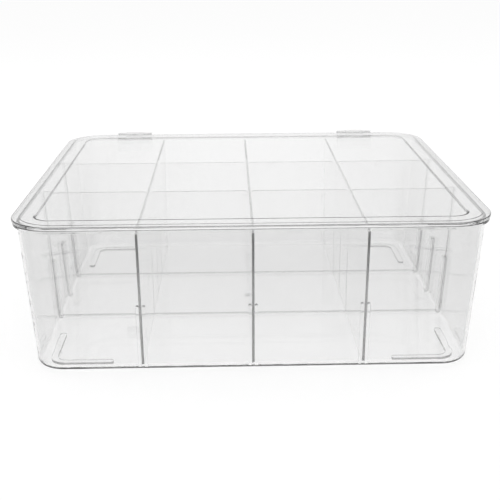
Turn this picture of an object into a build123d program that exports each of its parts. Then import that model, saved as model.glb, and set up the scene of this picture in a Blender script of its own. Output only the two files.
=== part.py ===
from build123d import *
import os

# A clear plastic box with a hinged lid. Two plates cross three long plates inside it, and part
# it into twelve wells that take stacks of business cards.
# X runs along the front, Y from front to rear and Z up. The origin is under the middle of the
# box, on the surface that it stands on. All sizes are in millimetres.

# Bin
floor_length = 298.0
floor_width = 274.0
mouth_length = 310.4
mouth_width = 294.0
wall = 1.8
floor_thickness = 2.2
bin_height = 104.4
floor_corner_radius = 20.0
mouth_corner_radius = 25.0
floor_edge_radius = 4.5
flange_reach_side = 3.6
flange_reach_front = 1.8
flange_thickness = 2.0
flange_corner_growth = 6.4
flange_edge_radius = 0.5

# Plates that part the bin, and the guides on its walls that hold their ends
plate_thickness = 1.7
plate_corner_radius = 3.2
column_pitch = 75.0
row_pitch = 46.7
row_shift = 3.9
slot_mouth_radius = 2.4
guide_height = 45.5
guide_depth = 3.0
guide_rib_width = 2.1
rounding_share = 0.48

# Feet, four ridges that turn the floor's corners
foot_height = 1.8
foot_ridge_width = 4.7
foot_corner_radius = 12.0
foot_leg_along_front = 44.5
foot_leg_along_side = 52.0

# Mark that the moulding gate leaves under the floor
gate_mark_radius = 2.0
gate_mark_height = 0.4

# Lid
lid_overhang = 0.6
lid_edge_thickness = 2.4
lid_edge_radius = 0.6
lid_step_inset = 5.0
lid_step_height = 0.3
panel_border_side = 16.2
panel_border_front = 15.9
panel_corner_radius = 12.0
panel_depth = 1.1
panel_edge_radius = 0.25

# Hinges
hinge_inset = 53.0
hinge_width = 31.5
hinge_above_rim = 1.0
barrel_width = 16.0
barrel_radius = 3.5
ear_radius = 3.0
pin_radius = 1.5
pin_end_inset = 0.5
pin_end_chamfer = 0.3
bracket_height = 13.2

# Clearances
plate_side_gap = 0.25
plate_end_gap = 0.3
plate_floor_gap = 0.2
plate_rim_gap = 3.5
plate_slot_gap = 0.5
foot_nest_gap_side = 2.1
foot_nest_gap_front = 7.9
foot_nest_gap_rear = 2.1
lid_gap = 0.3
ear_notch_gap = 0.6
barrel_side_gap = 0.3
barrel_wall_gap = 1.0
pin_press_gap = 0.02
pin_running_gap = 0.06

# Outlines, each from the one that it goes with
flange_length = mouth_length + 2 * flange_reach_side
flange_width = mouth_width + 2 * flange_reach_front
flange_corner_radius = mouth_corner_radius + flange_corner_growth
lid_length = flange_length + 2 * lid_overhang
lid_width = flange_width + 2 * lid_overhang
lid_corner_radius = flange_corner_radius + lid_overhang
panel_length = lid_length - 2 * panel_border_side
panel_width = lid_width - 2 * panel_border_front
foot_length = panel_length - 2 * foot_nest_gap_side
foot_width = panel_width - foot_nest_gap_front - foot_nest_gap_rear

# Heights above the surface that the box stands on
floor_top = foot_height + floor_thickness
guide_root = floor_top - floor_thickness / 2
guide_top = floor_top + guide_height
plate_bottom = floor_top + plate_floor_gap
plate_top = bin_height - plate_rim_gap
slot_end = (plate_bottom + plate_top) / 2
flange_bottom = bin_height - flange_thickness
bracket_bottom = bin_height - bracket_height
lid_bottom = bin_height + lid_gap
lid_edge_top = lid_bottom + lid_edge_thickness
lid_top = lid_edge_top + lid_step_height
panel_top = lid_top - panel_depth
hinge_z = bin_height + hinge_above_rim

# Places along the box, across it and behind it
column_places = [-column_pitch, 0, column_pitch]
row_places = [row_shift - row_pitch, row_shift, row_shift + row_pitch]
hinge_places = [hinge_inset - mouth_length / 2, mouth_length / 2 - hinge_inset]
foot_centre_y = (foot_nest_gap_front - foot_nest_gap_rear) / 2
hinge_y = mouth_width / 2 + barrel_wall_gap + barrel_radius
ear_front = hinge_y - ear_radius
plate_slot = plate_thickness + 2 * plate_side_gap


def at_height(floor_size, mouth_size, z):
    # A size of the tapered tub, part of the way from the floor's underside to the mouth
    share = (z - foot_height) / (bin_height - foot_height)
    return floor_size + (mouth_size - floor_size) * share


def tapered_block(inset, low, high, edge_radius=0.0):
    # The tub's tapered form between two heights, brought in by inset on every side
    with BuildPart(mode=Mode.PRIVATE) as block:
        for z in (low, high):
            with BuildSketch(Plane.XY.offset(z)):
                RectangleRounded(
                    at_height(floor_length, mouth_length, z) - 2 * inset,
                    at_height(floor_width, mouth_width, z) - 2 * inset,
                    at_height(floor_corner_radius, mouth_corner_radius, z) - inset,
                )
        loft(ruled=True)
        if edge_radius:
            fillet(block.edges().group_by(Axis.Z)[0], edge_radius)
    return block.part


outside_form = tapered_block(0, foot_height, bin_height, floor_edge_radius)
inside_form = tapered_block(wall, floor_top, bin_height + wall, floor_edge_radius - wall)

# Guides: pairs of low ribs with rounded tops, wherever a plate's end can stand
guide_offset = (plate_slot + guide_rib_width) / 2
guide_planes = []
for place in column_places:
    for rib in (place - guide_offset, place + guide_offset):
        guide_planes.append((Plane.YZ.offset(rib), floor_width, mouth_width))
for place in row_places:
    for rib in (place - guide_offset, place + guide_offset):
        guide_planes.append((Plane.XZ.offset(-rib), floor_length, mouth_length))

with BuildPart() as guides:
    for guide_plane, floor_size, mouth_size in guide_planes:
        low = at_height(floor_size, mouth_size, guide_root) / 2
        high = at_height(floor_size, mouth_size, guide_top) / 2
        with BuildSketch(guide_plane):
            with BuildLine():
                Polyline(
                    (low, guide_root),
                    (high, guide_top),
                    (high - wall - guide_depth, guide_top),
                    (low - wall - guide_depth, guide_root),
                    close=True,
                )
            make_face()
            mirror(about=Plane.YZ)
        extrude(amount=guide_rib_width / 2, both=True)
    rib_tops = guides.edges().group_by(Axis.Z)[-1].group_by(SortBy.LENGTH)[-1]
    fillet(rib_tops, guide_rib_width * rounding_share)

# The space inside the bin, with the guides left standing in it
with BuildPart() as hollow:
    add(inside_form)
    add(guides.part, mode=Mode.SUBTRACT)

# Feet: they nest in the lid panel of a box below
with BuildPart() as feet:
    with BuildSketch(Plane((0, foot_centre_y, 0))):
        RectangleRounded(foot_length, foot_width, foot_corner_radius)
        RectangleRounded(
            foot_length - 2 * foot_ridge_width,
            foot_width - 2 * foot_ridge_width,
            foot_corner_radius - foot_ridge_width,
            mode=Mode.SUBTRACT,
        )
        Rectangle(foot_length - 2 * foot_leg_along_front, foot_width, mode=Mode.SUBTRACT)
        Rectangle(foot_length, foot_width - 2 * foot_leg_along_side, mode=Mode.SUBTRACT)
    extrude(amount=foot_height + floor_thickness / 2)
    straight_ends = feet.faces().filter_by(Axis.Z, reverse=True).filter_by(GeomType.PLANE)
    leg_ends = [f for f in straight_ends if abs(f.width - foot_ridge_width) < 0.01
                or abs(f.length - foot_ridge_width) < 0.01]
    leg_corners = [e for f in leg_ends for e in f.edges().filter_by(Axis.Z)]
    fillet(leg_corners, foot_ridge_width * rounding_share)

# Flange: the rim that stiffens the mouth, and that the lid closes on
with BuildPart() as flange:
    with BuildSketch(Plane.XY.offset(flange_bottom)):
        RectangleRounded(flange_length, flange_width, flange_corner_radius)
    extrude(amount=flange_thickness)
    fillet(flange.edges().filter_by(Plane.XY), flange_edge_radius)

# Hinge brackets: each rises from the rear wall to two ears, with room for a barrel between them
bracket_root = at_height(floor_width, mouth_width, bracket_bottom) / 2 - wall / 2
with BuildPart() as brackets:
    for place in hinge_places:
        with BuildSketch(Plane.YZ.offset(place)):
            with Locations((hinge_y, hinge_z)):
                Circle(ear_radius)
            with Locations((bracket_root, bracket_bottom)):
                Rectangle(
                    wall / 2,
                    bracket_height,
                    align=(Align.MIN, Align.MIN),
                )
            make_hull()
            with Locations((ear_front, bin_height)):
                Rectangle(
                    ear_front,
                    ear_radius + hinge_above_rim + wall,
                    align=(Align.MAX, Align.MIN),
                    mode=Mode.SUBTRACT,
                )
        extrude(amount=hinge_width / 2, both=True)

# Bin
slot_floor = hinge_z - barrel_radius - barrel_wall_gap
with BuildPart() as bin_shell:
    add(outside_form)
    add(flange.part)
    add(brackets.part)
    add(feet.part)
    with BuildSketch(Plane.XY.offset(slot_floor)):
        for place in hinge_places:
            with Locations((place, mouth_width / 2)):
                Rectangle(
                    barrel_width,
                    barrel_wall_gap + 3 * barrel_radius,
                    align=(Align.CENTER, Align.MIN),
                )
    extrude(amount=bin_height, mode=Mode.SUBTRACT)
    add(hollow.part, mode=Mode.SUBTRACT)
    with BuildSketch(Plane.YZ):
        with Locations((hinge_y, hinge_z)):
            Circle(pin_radius + pin_press_gap)
    extrude(amount=mouth_length / 2, both=True, mode=Mode.SUBTRACT)
    with BuildSketch(Plane.XY.offset(foot_height - gate_mark_height)):
        Circle(gate_mark_radius)
    extrude(amount=gate_mark_height + floor_thickness / 2)

# Lid: a flat cover with a raised border round a sunk panel, and two hinge barrels
ear_notch_front = ear_front - ear_notch_gap
with BuildPart() as lid:
    with BuildSketch(Plane.XY.offset(lid_bottom)):
        RectangleRounded(lid_length, lid_width, lid_corner_radius)
    extrude(amount=lid_edge_thickness)
    fillet(lid.edges().filter_by(Plane.XY), lid_edge_radius)
    with BuildSketch(Plane.XY.offset(lid_bottom + lid_edge_thickness / 2)):
        RectangleRounded(
            lid_length - 2 * lid_step_inset,
            lid_width - 2 * lid_step_inset,
            lid_corner_radius - lid_step_inset,
        )
    extrude(amount=lid_top - lid_bottom - lid_edge_thickness / 2)
    with BuildSketch(Plane.XY.offset(panel_top)):
        RectangleRounded(panel_length, panel_width, panel_corner_radius)
    extrude(amount=2 * panel_depth, mode=Mode.SUBTRACT)
    fillet(lid.edges().filter_by_position(Axis.Z, panel_top, panel_top), panel_edge_radius)
    fillet(lid.edges().group_by(Axis.Z)[-1], panel_edge_radius)
    with BuildSketch(Plane.XY.offset(lid_bottom - panel_depth)):
        for place in hinge_places:
            with Locations((place, ear_notch_front)):
                Rectangle(
                    hinge_width + 2 * ear_notch_gap,
                    lid_width,
                    align=(Align.CENTER, Align.MIN),
                )
    extrude(amount=lid_top, mode=Mode.SUBTRACT)
    for place in hinge_places:
        with BuildSketch(Plane.YZ.offset(place)):
            with Locations((hinge_y, hinge_z)):
                Circle(barrel_radius)
            with Locations((hinge_y, lid_bottom)):
                Rectangle(
                    hinge_y - ear_notch_front + lid_edge_thickness,
                    lid_edge_thickness,
                    align=(Align.MAX, Align.MIN),
                )
            with Locations((hinge_y, hinge_z)):
                Circle(pin_radius + pin_running_gap, mode=Mode.SUBTRACT)
        extrude(amount=barrel_width / 2 - barrel_side_gap, both=True)

# Hinge pins: clear rods, tight in the ears and loose in the barrel
pins = []
for place in hinge_places:
    with BuildPart() as hinge_pin:
        with BuildSketch(Plane.YZ.offset(place)):
            with Locations((hinge_y, hinge_z)):
                Circle(pin_radius)
        extrude(amount=hinge_width / 2 - pin_end_inset, both=True)
        chamfer(hinge_pin.edges().filter_by(GeomType.CIRCLE), pin_end_chamfer)
    pins.append(hinge_pin)
hinge_pin_left, hinge_pin_right = pins


def slotted_plate(plane, floor_size, mouth_size, slot_places, slot_low, slot_high):
    # A plate across the tub, with slots that run past one long edge and are rounded where they open
    low = at_height(floor_size, mouth_size, plate_bottom) / 2 - wall - plate_end_gap
    high = at_height(floor_size, mouth_size, plate_top) / 2 - wall - plate_end_gap
    with BuildPart() as plate:
        with BuildSketch(plane) as face:
            with BuildLine():
                Polyline(
                    (-low, plate_bottom),
                    (low, plate_bottom),
                    (high, plate_top),
                    (-high, plate_top),
                    close=True,
                )
            make_face()
            fillet(face.vertices().group_by(Axis.Y)[0], plate_corner_radius)
            for place in slot_places:
                with Locations((place, (slot_low + slot_high) / 2)):
                    Rectangle(plate_slot, slot_high - slot_low, mode=Mode.SUBTRACT)
            slot_corners = []
            for place in slot_places:
                for corner in face.vertices():
                    beside_slot = abs(abs(corner.X - place) - plate_slot / 2) < plate_side_gap
                    on_edge = corner.Y < plate_bottom + plate_side_gap
                    on_edge = on_edge or corner.Y > plate_top - plate_side_gap
                    if beside_slot and on_edge:
                        slot_corners.append(corner)
            fillet(slot_corners, slot_mouth_radius)
        extrude(amount=plate_thickness / 2, both=True)
    return plate


# Long plates: their slots open downwards, over the plates that cross them
long_plates = []
for place in column_places:
    long_plates.append(slotted_plate(
        Plane.YZ.offset(place),
        floor_width,
        mouth_width,
        row_places,
        foot_height,
        slot_end + plate_slot_gap / 2,
    ))
divider_left, divider_middle, divider_right = long_plates

# Crossing plates: their slots open upwards, and they stand in the first and last rows of guides
cross_plates = []
for place in (row_places[0], row_places[-1]):
    cross_plates.append(slotted_plate(
        Plane.XZ.offset(-place),
        floor_length,
        mouth_length,
        column_places,
        slot_end - plate_slot_gap / 2,
        lid_top,
    ))
cross_divider_front, cross_divider_rear = cross_plates

# Every piece moves forward, so that the origin is under the middle of the box and its hinges
whole_box_shift = Location((0, (lid_width / 2 - hinge_y - barrel_radius) / 2, 0))
for piece in [bin_shell, lid, *pins, *long_plates, *cross_plates]:
    piece.part.locate(whole_box_shift)

bin_shell.part.label = "bin"
lid.part.label = "lid"
hinge_pin_left.part.label = "hinge_pin_left"
hinge_pin_right.part.label = "hinge_pin_right"
divider_left.part.label = "divider_left"
divider_middle.part.label = "divider_middle"
divider_right.part.label = "divider_right"
cross_divider_front.part.label = "cross_divider_front"
cross_divider_rear.part.label = "cross_divider_rear"

os.makedirs("parts", exist_ok=True)
export_step(bin_shell.part, "parts/bin.step")
export_step(lid.part, "parts/lid.step")
export_step(hinge_pin_left.part, "parts/hinge_pin_left.step")
export_step(hinge_pin_right.part, "parts/hinge_pin_right.step")
export_step(divider_left.part, "parts/divider_left.step")
export_step(divider_middle.part, "parts/divider_middle.step")
export_step(divider_right.part, "parts/divider_right.step")
export_step(cross_divider_front.part, "parts/cross_divider_front.step")
export_step(cross_divider_rear.part, "parts/cross_divider_rear.step")
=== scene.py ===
import math

import bpy
from mathutils import Matrix, Vector

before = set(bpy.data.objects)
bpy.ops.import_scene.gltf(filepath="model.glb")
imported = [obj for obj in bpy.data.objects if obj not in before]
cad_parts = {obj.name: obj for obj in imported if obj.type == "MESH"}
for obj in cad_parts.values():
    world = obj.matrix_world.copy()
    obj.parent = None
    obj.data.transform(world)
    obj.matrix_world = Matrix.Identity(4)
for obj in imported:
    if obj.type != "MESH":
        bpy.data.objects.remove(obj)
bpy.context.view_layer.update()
scene = bpy.context.scene

# Kinds of node that are used most, and settings for them
MATH = "ShaderNodeMath"
VECTOR_MATH = "ShaderNodeVectorMath"
RANGE = "ShaderNodeMapRange"
MIX = "ShaderNodeMix"
NOISE = "ShaderNodeTexNoise"
ABSOLUTE = {"operation": "ABSOLUTE"}
MINIMUM = {"operation": "MINIMUM"}
MAXIMUM = {"operation": "MAXIMUM"}
MULTIPLY = {"operation": "MULTIPLY"}
ADD = {"operation": "ADD"}
SUBTRACT = {"operation": "SUBTRACT"}
LENGTH = {"operation": "LENGTH"}
SMOOTH = {"interpolation_type": "SMOOTHSTEP"}
COLOURS = {"data_type": "RGBA"}

# Places on the box that the materials follow, in metres. The frame's origin is 2.8 mm behind the
# middle of the tub. The lid's underside lies below the skin height and its upper faces above it.
# The cross plates' leaning ends, carried on down, would meet the ground at the plate end.
MM = 0.001
TUB_FORWARD = 2.8 * MM
FOOT_HEIGHT = 1.8 * MM
FLOOR_TOP = 4 * MM
BEHIND_WALL = 144.5 * MM
BEHIND_RIM = 146.5 * MM
LID_SKIN = 106 * MM
PANEL_HALF_LENGTH = 143.2 * MM
PANEL_HALF_WIDTH = 133.5 * MM
PANEL_CORNER = 12 * MM
PLATE_END = 146.8 * MM
WALL_LEAN = 0.0604

# Shares of a finish: how much of the seen floor glows, and how much painted shade, a dark matt finish,
# the bin's foot sides and under-wall rounding get
FLOOR_GLOW = 0.65
FOOT_PAINTED_SHADE = 0.4
EDGE_PAINTED_SHADE = 0.75


def linear(code):
    # An sRGB hex colour as linear RGBA
    channels = [int(code[i:i + 2], 16) / 255 for i in (1, 3, 5)]
    curve = [c / 12.92 if c <= 0.04045 else ((c + 0.055) / 1.055) ** 2.4 for c in channels]
    return (*curve, 1.0)


def node(tree, kind, settings=None, **inputs):
    # Adds a node. Settings are its own properties. Inputs are values or sockets to link from, by
    # name with _ for a space, or by number as in i0.
    made = tree.nodes.new(kind)
    for name, value in (settings or {}).items():
        setattr(made, name, value)
    for name, value in inputs.items():
        key = int(name[1:]) if name[0] == "i" and name[1:].isdigit() else name.replace("_", " ")
        socket = made.inputs[key]
        if isinstance(value, bpy.types.NodeSocket):
            tree.links.new(value, socket)
        else:
            socket.default_value = value
    return made


def seen_share(tree):
    # 1 for rays that look, straight or by way of gloss and clear plastic, and 0 for light
    path = node(tree, "ShaderNodeLightPath").outputs
    mirrored = node(tree, MATH, MAXIMUM, i0=path["Is Camera Ray"], i1=path["Is Glossy Ray"])
    seen = node(tree, MATH, MAXIMUM, i0=mirrored.outputs[0], i1=path["Is Transmission Ray"])
    return seen.outputs[0]


def empty_tree(owner):
    owner.use_nodes = True
    owner.node_tree.nodes.clear()
    return owner.node_tree


# Camera: in front of the box and above its lid, turned a little to the right
pitch, roll, yaw = (math.radians(a) for a in (18.2737, -0.3396, -1.2412))
level_right = Vector((math.cos(yaw), math.sin(yaw), 0))
ahead = Vector((
    -math.cos(pitch) * math.sin(yaw),
    math.cos(pitch) * math.cos(yaw),
    -math.sin(pitch),
))
level_up = level_right.cross(ahead)
right = math.cos(roll) * level_right + math.sin(roll) * level_up
up = math.cos(roll) * level_up - math.sin(roll) * level_right
eye = Vector((-0.0146, -0.7269, 0.2807))
lens = bpy.data.cameras.new("lens")
lens.sensor_width = 36
lens.lens = 68.087
camera = bpy.data.objects.new("camera", lens)
camera.matrix_world = Matrix((right, up, -ahead)).transposed().to_4x4()
camera.matrix_world.translation = eye
scene.collection.objects.link(camera)
scene.camera = camera
scene.view_settings.view_transform = "Standard"

# Light that bounces about inside the plastic needs many bounces before it leaves
bounces = 48
scene.cycles.max_bounces = bounces
scene.cycles.glossy_bounces = bounces
scene.cycles.transmission_bounces = bounces
scene.cycles.transparent_max_bounces = bounces

# World: where it is looked at, white round the horizon and grey overhead. Where it gives light, one
# plain level.
world = bpy.data.worlds.new("studio")
tree = empty_tree(world)
direction = node(tree, "ShaderNodeTexCoord").outputs["Generated"]
climb = node(tree, "ShaderNodeSeparateXYZ", i0=direction).outputs["Z"]
ceiling = node(tree, RANGE, SMOOTH, Value=climb, From_Min=0.35, From_Max=0.75).outputs[0]
shade = node(tree, MIX, COLOURS, i0=ceiling, i6=linear("#FFFFFF"), i7=linear("#B4B4B4"))
looked_at = node(tree, "ShaderNodeBackground", Color=shade.outputs[2], Strength=1.0)
giving_light = node(tree, "ShaderNodeBackground", Color=linear("#FFFFFF"), Strength=0.8)
mixed = node(tree, "ShaderNodeMixShader", i0=seen_share(tree), i1=giving_light.outputs[0],
             i2=looked_at.outputs[0])
node(tree, "ShaderNodeOutputWorld", Surface=mixed.outputs[0])
scene.world = world

# Floor: matt white paper, just under the feet. Part of what is seen of it is a plain white glow, and
# the rest is lit and keeps the box's shadow.
reach = 8.0
drop = -0.2 * MM
corners = [(-reach, -reach, drop), (reach, -reach, drop), (reach, reach, drop), (-reach, reach, drop)]
floor_mesh = bpy.data.meshes.new("floor")
floor_mesh.from_pydata(corners, [], [(0, 1, 2, 3)])
floor = bpy.data.objects.new("floor", floor_mesh)
scene.collection.objects.link(floor)
paper = bpy.data.materials.new("paper_white_matt")
tree = empty_tree(paper)
lit = node(tree, "ShaderNodeBsdfDiffuse", Color=linear("#F0F0F0"))
white = node(tree, "ShaderNodeEmission", Color=linear("#FFFFFF"), Strength=1.12)
glow = node(tree, MATH, MULTIPLY, i0=seen_share(tree), i1=FLOOR_GLOW).outputs[0]
mixed = node(tree, "ShaderNodeMixShader", i0=glow, i1=lit.outputs[0], i2=white.outputs[0])
node(tree, "ShaderNodeOutputMaterial", Surface=mixed.outputs[0])
floor_mesh.materials.append(paper)

# Lamp: one large soft box overhead, turned to the middle of the box
soft_box = bpy.data.lights.new("soft_box", "AREA")
soft_box.shape = "RECTANGLE"
soft_box.size, soft_box.size_y = 1.6, 1.2
soft_box.energy = 8
overhead = bpy.data.objects.new("overhead", soft_box)
overhead.location = (0, 0.3, 1.6)
overhead.rotation_mode = "QUATERNION"
aim = Vector((0, 0, 0.05)) - overhead.location
overhead.rotation_quaternion = aim.to_track_quat("-Z", "Y")
scene.collection.objects.link(overhead)


def by_axis(tree, coordinates):
    # Where a point of the box is, by Object, or which way its surface faces, by Normal, along X, Y, Z
    seat = node(tree, "ShaderNodeTexCoord").outputs[coordinates]
    return node(tree, "ShaderNodeSeparateXYZ", i0=seat).outputs


# Each function of marks gives a plastic's colour and its share of painted shade, a dark matt finish,
# from 0 to 1

def bin_marks(tree):
    # The walls are a little greyer towards the rim, and the side walls most, painted shade for the grey
    # tone these clear walls show there. The bottom is cloudy round the gate mark. The hinge parts are
    # greyer than the walls, and the brackets' side faces greyer still, painted shade for the dark lines
    # these faces show edge-on. The sides of the feet and the rounding under the walls get a share of
    # dark matt finish, painted shade, so that both read as grey outlines.
    where = by_axis(tree, "Object")
    facing = by_axis(tree, "Normal")
    # Painted shade: greyer higher up and on the side walls, for the tone the clear walls show there
    high = node(tree, RANGE, SMOOTH, Value=where["Z"], From_Min=10 * MM, From_Max=90 * MM)
    faces = node(tree, MIX, COLOURS, i0=high.outputs[0], i6=linear("#F9F9F9"), i7=linear("#F3F3F3"))
    across = node(tree, MATH, ABSOLUTE, i0=facing["X"])
    side = node(tree, RANGE, Value=across.outputs[0], From_Min=0.4, From_Max=0.9)
    walls = node(tree, MIX, COLOURS, i0=side.outputs[0], i6=faces.outputs[2], i7=linear("#ECECEC"))
    wall = node(tree, RANGE, SMOOTH, Value=where["Z"], From_Min=FLOOR_TOP, From_Max=8 * MM)
    plain = node(tree, MIX, COLOURS, i0=wall.outputs[0], i6=linear("#FFFFFF"), i7=walls.outputs[2])

    from_gate = node(tree, MATH, ADD, i0=where["Y"], i1=TUB_FORWARD)
    spot = node(tree, "ShaderNodeCombineXYZ", i0=where["X"], i1=from_gate.outputs[0])
    away = node(tree, VECTOR_MATH, LENGTH, i0=spot.outputs[0]).outputs["Value"]
    cloud = node(tree, RANGE, SMOOTH, Value=away, From_Min=6 * MM, From_Max=2 * MM, To_Max=0.6)
    gate = node(tree, MIX, COLOURS, i0=cloud.outputs[0], i6=plain.outputs[2], i7=linear("#D0D0D0"))

    behind = node(tree, RANGE, Value=where["Y"], From_Min=BEHIND_RIM, From_Max=BEHIND_RIM + 0.5 * MM)
    hinge = node(tree, MIX, COLOURS, i0=behind.outputs[0], i6=gate.outputs[2], i7=linear("#E6E6E6"))
    # Painted shade: the brackets' side faces are painted grey for the dark lines they show edge-on
    flank = node(tree, RANGE, Value=across.outputs[0], From_Min=0.8, From_Max=0.95)
    rear = node(tree, RANGE, Value=where["Y"], From_Min=BEHIND_WALL, From_Max=BEHIND_WALL + 0.5 * MM)
    bracket = node(tree, MATH, MINIMUM, i0=flank.outputs[0], i1=rear.outputs[0])
    colour = node(tree, MIX, COLOURS, i0=bracket.outputs[0], i6=hinge.outputs[2], i7=linear("#B0B0B0"))

    level = node(tree, MATH, ABSOLUTE, i0=facing["Z"])
    upright = node(tree, RANGE, Value=level.outputs[0], From_Min=0.8, From_Max=0.5)
    low = node(tree, RANGE, Value=where["Z"], From_Min=FOOT_HEIGHT + 0.1 * MM,
               From_Max=FOOT_HEIGHT - 0.1 * MM)
    foot = node(tree, MATH, MINIMUM, i0=upright.outputs[0], i1=low.outputs[0])
    down = node(tree, RANGE, Value=facing["Z"], From_Min=-0.1, From_Max=-0.4)
    tilted = node(tree, RANGE, Value=facing["Z"], From_Min=-0.98, From_Max=-0.9)
    under = node(tree, MATH, MINIMUM, i0=down.outputs[0], i1=tilted.outputs[0])
    lowest = node(tree, RANGE, Value=where["Z"], From_Min=4.2 * MM, From_Max=3 * MM)
    edge = node(tree, MATH, MINIMUM, i0=under.outputs[0], i1=lowest.outputs[0])
    # Painted shade: a share of dark matt finish on the feet's sides and the rounding under the walls
    foot_painted_shade = node(tree, MATH, MULTIPLY, i0=foot.outputs[0], i1=FOOT_PAINTED_SHADE)
    edge_painted_shade = node(tree, MATH, MULTIPLY, i0=edge.outputs[0], i1=EDGE_PAINTED_SHADE)
    painted_shade_share = node(tree, MATH, MAXIMUM, i0=foot_painted_shade.outputs[0], i1=edge_painted_shade.outputs[0])
    return colour.outputs[2], painted_shade_share.outputs[0]


def lid_marks(tree):
    # The lid is a little greyer towards its sides, and most on its side borders and rear edge, painted
    # shade for the darker tone the clear lid shows there. A dark matt line 1.1 mm wide, painted shade,
    # runs along the front of the sunk panel and round its front corners. It stands for the thin dark
    # line that the real step shows there, which a plain clear step this low doesn't give in the render.
    where = by_axis(tree, "Object")
    # Painted shade: greyer towards the sides, the side borders and the rear edge
    aside = node(tree, MATH, ABSOLUTE, i0=where["X"])
    outward = node(tree, RANGE, SMOOTH, Value=aside.outputs[0], From_Min=30 * MM, From_Max=130 * MM)
    face = node(tree, MIX, COLOURS, i0=outward.outputs[0], i6=linear("#FAFAFA"), i7=linear("#F3F3F3"))
    border = node(tree, RANGE, SMOOTH, Value=aside.outputs[0], From_Min=150 * MM, From_Max=154 * MM)
    rim = node(tree, MIX, COLOURS, i0=border.outputs[0], i6=face.outputs[2], i7=linear("#ECECEC"))
    behind = node(tree, RANGE, SMOOTH, Value=where["Y"], From_Min=141 * MM, From_Max=144 * MM)
    colour = node(tree, MIX, COLOURS, i0=behind.outputs[0], i6=rim.outputs[2], i7=linear("#EAEAEA"))

    # Painted shade: a dark matt line along the front of the sunk panel and round its front corners
    from_middle = node(tree, MATH, ADD, i0=where["Y"], i1=TUB_FORWARD)
    along = node(tree, MATH, ABSOLUTE, i0=from_middle.outputs[0])
    quarter = node(tree, "ShaderNodeCombineXYZ", i0=aside.outputs[0], i1=along.outputs[0])
    corner_centre = (PANEL_HALF_LENGTH - PANEL_CORNER, PANEL_HALF_WIDTH - PANEL_CORNER, 0)
    past = node(tree, VECTOR_MATH, SUBTRACT, i0=quarter.outputs[0], i1=corner_centre)
    outside = node(tree, VECTOR_MATH, MAXIMUM, i0=past.outputs[0], i1=(0, 0, 0))
    away = node(tree, VECTOR_MATH, LENGTH, i0=outside.outputs[0]).outputs["Value"]
    within = node(tree, RANGE, Value=away, From_Min=PANEL_CORNER + 1.3 * MM,
                  From_Max=PANEL_CORNER + 1.1 * MM)
    beyond = node(tree, RANGE, Value=away, From_Min=PANEL_CORNER - 0.2 * MM, From_Max=PANEL_CORNER)
    ring = node(tree, MATH, MINIMUM, i0=within.outputs[0], i1=beyond.outputs[0])
    front = node(tree, RANGE, SMOOTH, Value=where["Y"], From_Min=-120 * MM, From_Max=-132 * MM)
    top = node(tree, RANGE, Value=where["Z"], From_Min=LID_SKIN - 0.2 * MM, From_Max=LID_SKIN)
    near = node(tree, MATH, MINIMUM, i0=front.outputs[0], i1=top.outputs[0])
    line = node(tree, MATH, MINIMUM, i0=ring.outputs[0], i1=near.outputs[0])
    from_inside = node(tree, "ShaderNodeNewGeometry").outputs["Backfacing"]
    painted_shade_share = node(tree, MATH, {**SUBTRACT, "use_clamp": True}, i0=line.outputs[0], i1=from_inside)
    return colour.outputs[2], painted_shade_share.outputs[0]


def divider_marks(tree):
    # A plate's front edge shows the plate's whole length at once, and its grey, dark at the top and
    # paler lower down, is painted shade
    where = by_axis(tree, "Object")
    facing = by_axis(tree, "Normal")
    front = node(tree, RANGE, Value=facing["Y"], From_Min=-0.9, From_Max=-0.95)
    high = node(tree, RANGE, SMOOTH, Value=where["Z"], From_Min=55 * MM, From_Max=92 * MM)
    edge = node(tree, MIX, COLOURS, i0=high.outputs[0], i6=linear("#F8F8F8"), i7=linear("#505050"))
    colour = node(tree, MIX, COLOURS, i0=front.outputs[0], i6=linear("#F8F8F8"), i7=edge.outputs[2])
    return colour.outputs[2], 0.0


def cross_divider_marks(tree):
    # A grey line 0.9 mm wide, painted shade, runs up each end, which leans out with the tub's walls,
    # and one 1 mm wide along the foot. They stand for the edges that the real plates show as thin
    # lines.
    where = by_axis(tree, "Object")
    aside = node(tree, MATH, ABSOLUTE, i0=where["X"])
    lean = node(tree, MATH, MULTIPLY, i0=where["Z"], i1=WALL_LEAN)
    straight = node(tree, MATH, SUBTRACT, i0=aside.outputs[0], i1=lean.outputs[0])
    end = node(tree, RANGE, Value=straight.outputs[0], From_Min=PLATE_END - 0.9 * MM,
               From_Max=PLATE_END - 0.8 * MM)
    above = node(tree, MATH, SUBTRACT, i0=where["Z"], i1=FLOOR_TOP + 1.3 * MM)
    off_line = node(tree, MATH, ABSOLUTE, i0=above.outputs[0])
    foot = node(tree, RANGE, Value=off_line.outputs[0], From_Min=0.55 * MM, From_Max=0.45 * MM)
    edges = node(tree, MATH, MAXIMUM, i0=end.outputs[0], i1=foot.outputs[0])
    colour = node(tree, MIX, COLOURS, i0=edges.outputs[0], i6=linear("#F8F8F8"), i7=linear("#CCCCCC"))
    return colour.outputs[2], 0.0


def rod_marks(tree):
    # A rod is clear along its length, with a trace of grey that drifts every 8 mm or so
    seat = node(tree, "ShaderNodeTexCoord").outputs["Object"]
    drift = node(tree, NOISE, Vector=seat, Scale=1 / (8 * MM), Detail=1.0).outputs[0]
    colour = node(tree, MIX, COLOURS, i0=drift, i6=linear("#E8E8E8"), i7=linear("#D8D8D8"))
    return colour.outputs[2], 0.0


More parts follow.
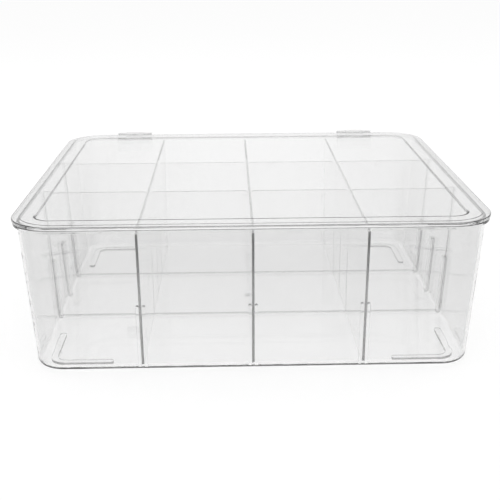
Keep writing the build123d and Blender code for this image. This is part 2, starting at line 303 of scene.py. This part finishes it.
def clear_plastic(name, marks, absorption):
    # Clear polystyrene bends light strongly, so its faces stay nearly invisible while its edges
    # gather the grey of the long way through the sheet. A slow waviness, about 40 mm from crest to
    # crest, is what moulding or drawing leaves, and patches about 6 mm across are duller from use.
    made = bpy.data.materials.new(name)
    tree = empty_tree(made)
    colour, painted_shade_share = marks(tree)
    seat = node(tree, "ShaderNodeTexCoord").outputs["Object"]
    flow = node(tree, NOISE, Vector=seat, Scale=1 / (40 * MM), Detail=1.0).outputs[0]
    bump = node(tree, "ShaderNodeBump", Strength=1.0, Distance=0.02 * MM, Height=flow).outputs[0]
    rub = node(tree, NOISE, Vector=seat, Scale=1 / (6 * MM), Detail=3.0).outputs[0]
    dull = node(tree, RANGE, SMOOTH, Value=rub, From_Min=0.6, From_Max=0.8, To_Max=0.03).outputs[0]
    solid = node(tree, "ShaderNodeBsdfPrincipled", Base_Color=colour, Roughness=dull, IOR=1.585,
                 Transmission_Weight=1.0, Normal=bump)
    # Painted shade: a dark matt shader, mixed in by each plastic's share of painted shade
    painted_dark_matt = node(tree, "ShaderNodeBsdfDiffuse", Color=linear("#3C3C3C"))
    finish = node(tree, "ShaderNodeMixShader", i0=painted_shade_share, i1=solid.outputs[0], i2=painted_dark_matt.outputs[0])
    passing = node(tree, "ShaderNodeBsdfTransparent", Color=linear("#FEFEFE"))
    shadow = node(tree, "ShaderNodeLightPath").outputs["Is Shadow Ray"]
    surface = node(tree, "ShaderNodeMixShader", i0=shadow, i1=finish.outputs[0],
                   i2=passing.outputs[0])
    depth = node(tree, "ShaderNodeVolumeAbsorption", Color=linear("#000000"), Density=absorption)
    node(tree, "ShaderNodeOutputMaterial", Surface=surface.outputs[0], Volume=depth.outputs[0])
    return made


# One plastic for each kind of piece, by the first word of its name. The absorption is per metre.
plastics = {
    "bin": clear_plastic("polystyrene_clear_moulded_bin", bin_marks, absorption=3.0),
    "lid": clear_plastic("polystyrene_clear_moulded_lid", lid_marks, absorption=1.2),
    "divider": clear_plastic("polystyrene_clear_sawn_divider", divider_marks, absorption=4.0),
    "cross": clear_plastic("polystyrene_clear_sawn_cross_divider", cross_divider_marks, absorption=4.0),
    "hinge": clear_plastic("polystyrene_clear_drawn_rod", rod_marks, absorption=2.0),
}
for name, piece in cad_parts.items():
    piece.data.materials.clear()
    piece.data.materials.append(plastics[name.split("_")[0]])
